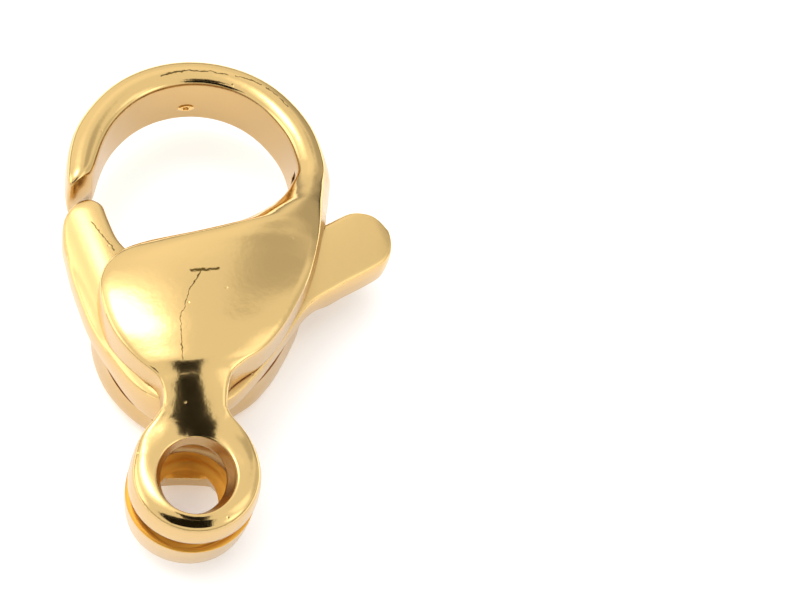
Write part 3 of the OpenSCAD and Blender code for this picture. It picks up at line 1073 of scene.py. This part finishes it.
class ClaspColours(bpy.types.PropertyGroup):
    """Colours of the finishes, the table and the light"""

    gold: colour_setting("Gold", "The polished plating", "#F1CC88")
    # The wall colours are darker than the gold as painted shade
    wall: colour_setting("Walls", "The casting's satin side walls, darkened as painted shade", "#CDAC76")
    lever_wall: colour_setting("Lever Walls", "The lever's satin side walls, darkened as painted shade", "#D2AF74")
    # The ring gap's and the slot's colours are painted shade
    gap: colour_setting("Ring Gap", "The end ring's gap, dull and darkened as painted shade", "#E8AC48")
    slot: colour_setting("Slot", "The lever's slot, dull and darkened brown as painted shade", "#7A4016")
    # The colour of the painted dark reflection lines
    mark: colour_setting("Reflection Lines", "The dark reflection lines painted on the plating", "#6B5628")
    pin: colour_setting("Pin", "The pivot pin's steel", "#C9BFA4")
    table: colour_setting("Table", "The sheet on which the clasp lies", "#F3F3F4")
    light: colour_setting("Light", "The studio's light", "#FFFFFE")


class ClaspStage(bpy.types.PropertyGroup):
    """The camera's lens and the room's light"""

    lens: bpy.props.FloatProperty(
        name="Lens", description="Focal length of the camera", default=80.0, min=1, unit="CAMERA"
    )
    room: bpy.props.FloatProperty(
        name="Room Light", description="Strength of the studio's even light", default=0.90, min=0
    )


def half_size(name):
    """Half of one of the sizes, in mm, without the noise of Blender's single precision."""
    return round(getattr(bpy.context.scene.clasp_sizes, name) / MM / 2, 6)


def chosen(name):
    """One of the colours as RGBA."""
    return (*getattr(bpy.context.scene.clasp_colours, name), 1.0)


class CLASP_OT_body(bpy.types.Operator):
    """Build the casting: hook, plates, necks and end ring"""

    bl_idname = "clasp.body"
    bl_label = "Casting"

    def execute(self, context):
        finishes = [
            gold_face(chosen("gold"), chosen("mark"), PAINTED_REFLECTION_LINES, (0.07, 0.17)),
            gold_wall_painted_shade(chosen("wall")),
            recess_with_painted_shade(chosen("gap"), chosen("slot")),
        ]
        bm = build_body(half_size("ring_gap"), half_size("slot"))
        finish_piece(bm, "casting_plated", finishes, "casting", "body")
        return {"FINISHED"}


class CLASP_OT_lever(bpy.types.Operator):
    """Build the lever: beak, arm, hub and thumb tab"""

    bl_idname = "clasp.lever"
    bl_label = "Lever"

    def execute(self, context):
        finishes = [
            gold_face(chosen("gold"), chosen("mark"), LEVER_PAINTED_REFLECTION_LINES, (0.20, 0.32)),
            gold_wall_painted_shade(chosen("lever_wall")),
        ]
        bm = build_lever(half_size("lever"))
        finish_piece(bm, "lever_plated", finishes, "trigger", "lever")
        return {"FINISHED"}


class CLASP_OT_pin(bpy.types.Operator):
    """Give the hidden pivot pin its finish"""

    bl_idname = "clasp.pin"
    bl_label = "Pivot Pin"

    def execute(self, context):
        pin = frame["nodes"]["pivot_pin"]
        pin.data.materials.clear()
        pin.data.materials.append(drawn_wire(chosen("pin")))
        return {"FINISHED"}


class CLASP_OT_stage(bpy.types.Operator):
    """Lay a pale table, set soft lights and the camera"""

    bl_idname = "clasp.stage"
    bl_label = "Stage"

    def execute(self, context):
        scene = context.scene
        bm = bmesh.new()
        bmesh.ops.create_grid(bm, x_segments=8, y_segments=8, size=TABLE_HALF)
        add_object(bm, "table", [pale_table(chosen("table"))])
        table_lamp()
        scene.world = studio_world(scene.clasp_stage.room, chosen("light"))
        scene.view_settings.view_transform = "Standard"
        scene.camera = photo_camera(scene.clasp_stage.lens)
        camera_cards(scene.camera)
        return {"FINISHED"}


class CLASP_PT_panel(bpy.types.Panel):
    """Lists the clasp's sizes, colours and pieces"""

    bl_idname = "CLASP_PT_panel"
    bl_label = "Lobster Clasp"
    bl_space_type = "VIEW_3D"
    bl_region_type = "UI"
    bl_category = "Clasp"

    def draw(self, context):
        scene = context.scene
        for group in (scene.clasp_sizes, scene.clasp_colours, scene.clasp_stage):
            box = self.layout.box()
            for name in type(group).__annotations__:
                box.prop(group, name)
        for operator in OPERATORS:
            self.layout.operator(operator.bl_idname)


OPERATORS = (CLASP_OT_body, CLASP_OT_lever, CLASP_OT_pin, CLASP_OT_stage)
GROUPS = {"clasp_sizes": ClaspSizes, "clasp_colours": ClaspColours, "clasp_stage": ClaspStage}
CLASSES = (*GROUPS.values(), *OPERATORS, CLASP_PT_panel)


def register():
    for cls in CLASSES:
        bpy.utils.register_class(cls)
    for name, group in GROUPS.items():
        setattr(bpy.types.Scene, name, bpy.props.PointerProperty(type=group))


def unregister():
    for name in GROUPS:
        delattr(bpy.types.Scene, name)
    for cls in reversed(CLASSES):
        bpy.utils.unregister_class(cls)


def main():
    """Builds every piece and the stage."""
    register()
    bpy.ops.clasp.body()
    bpy.ops.clasp.lever()
    bpy.ops.clasp.pin()
    bpy.ops.clasp.stage()


if __name__ == "__main__":
    main()
